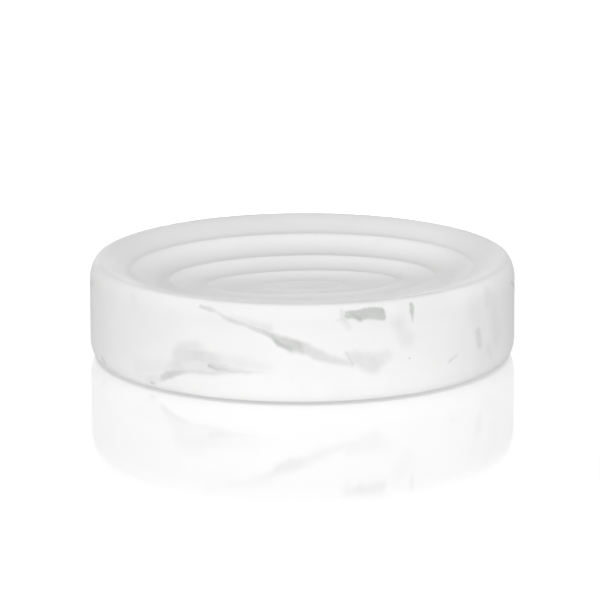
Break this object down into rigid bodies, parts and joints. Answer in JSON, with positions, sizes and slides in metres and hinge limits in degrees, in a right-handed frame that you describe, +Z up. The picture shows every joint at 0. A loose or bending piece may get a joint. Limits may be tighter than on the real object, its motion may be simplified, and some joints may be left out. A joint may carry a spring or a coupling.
{
  "type": "soap dish",
  "caption": "Round low soap dish with a marble look, a soft rim and a shallow well of oval ripples, on clear anti-slip bumpers.",
  "frame": {"origin": "centre of the dish at the counter, where the bumpers touch", "axes": "+Z up; +X along the long direction of the oval ripples; +Y across them, away from the viewer"},
  "size_m": [0.11, 0.11, 0.0253],
  "materials": {
    "marble_resin": "satin",
    "clear_bumper": "satin",
    "adhesive": "matte"
  },
  "bodies": {
    "root": {"dish_body": "marble_resin", "bumper_1": "clear_bumper", "bumper_2": "clear_bumper", "bumper_3": "clear_bumper", "bumper_4": "clear_bumper", "adhesive_disc_1": "adhesive", "adhesive_disc_2": "adhesive", "adhesive_disc_3": "adhesive", "adhesive_disc_4": "adhesive"}
  },
  "joints": []
}
